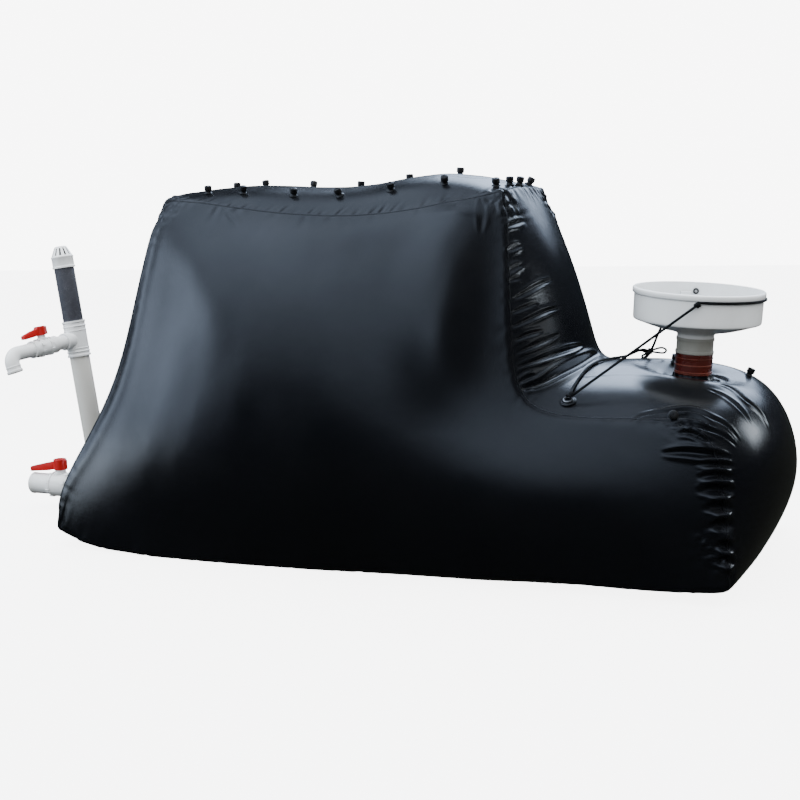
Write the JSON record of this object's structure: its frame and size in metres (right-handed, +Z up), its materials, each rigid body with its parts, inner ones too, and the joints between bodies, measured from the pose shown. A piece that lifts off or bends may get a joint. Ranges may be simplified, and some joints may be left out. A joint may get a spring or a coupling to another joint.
{
  "type": "biogas digester",
  "caption": "Portable bag digester: stepped inflated fabric tank, hopper inlet on a short pipe, guy line, and a leaning outlet riser with vent, spout valve and drain valve.",
  "frame": {"origin": "on the ground, under the middle of the tank", "axes": "+X along the tank from the outlet end to the inlet end, +Y across it away from the lettered side, +Z up"},
  "size_m": [2.8039, 1.109, 1.1916],
  "materials": {
    "fabric": "glossy black coated fabric",
    "sewer_brown": "red-brown ribbed sewer pipe",
    "white_plastic": "white moulded plastic, slightly soiled",
    "grey_plastic": "light grey pipe",
    "charcoal": "dark speckled filter tube",
    "red_plastic": "red valve lever",
    "cord": "black braided cord",
    "rubber": "black rubber grommet",
    "ring_metal": "small steel ring"
  },
  "bodies": {
    "digester": {"side_panel_front": "fabric", "side_panel_back": "fabric", "slope_panel": "fabric", "roof_panel": "fabric", "step_panel": "fabric", "inlet_roof_panel": "fabric", "inlet_end_panel": "fabric", "floor_panel": "fabric", "inlet_sleeve": "fabric", "outlet_collar": "fabric", "anchor_patch": "fabric", "anchor_ring": "ring_metal", "guy_line": "cord", "inlet_pipe": "sewer_brown", "hopper_neck": "white_plastic", "hopper_bowl": "white_plastic", "hopper_block": "white_plastic", "hopper_eyelet": "rubber", "outlet_pipe": "grey_plastic", "riser_pipe": "grey_plastic", "outlet_tee": "white_plastic", "vent_tee": "white_plastic", "filter_tube": "charcoal", "vent_cap": "white_plastic", "branch_pipe": "white_plastic", "spout_valve": "white_plastic", "spout_elbow": "white_plastic", "drain_reducer": "white_plastic", "drain_valve": "white_plastic"},
    "drain_handle": {"drain_lever": "red_plastic"},
    "spout_handle": {"spout_lever": "red_plastic"}
  },
  "joints": [
    {"name": "drain_turn", "type": "hinge", "parent": "digester", "child": "drain_handle", "pos_m": [-1.515, 0, 0.088], "axis": [0, 0, 1], "range_deg": [0, 90]},
    {"name": "spout_turn", "type": "hinge", "parent": "digester", "child": "spout_handle", "pos_m": [-1.42213, -0.16218, 0.62858], "axis": [-0.1393, -0.0518, 0.9889], "range_deg": [-90, 0]}
  ]
}
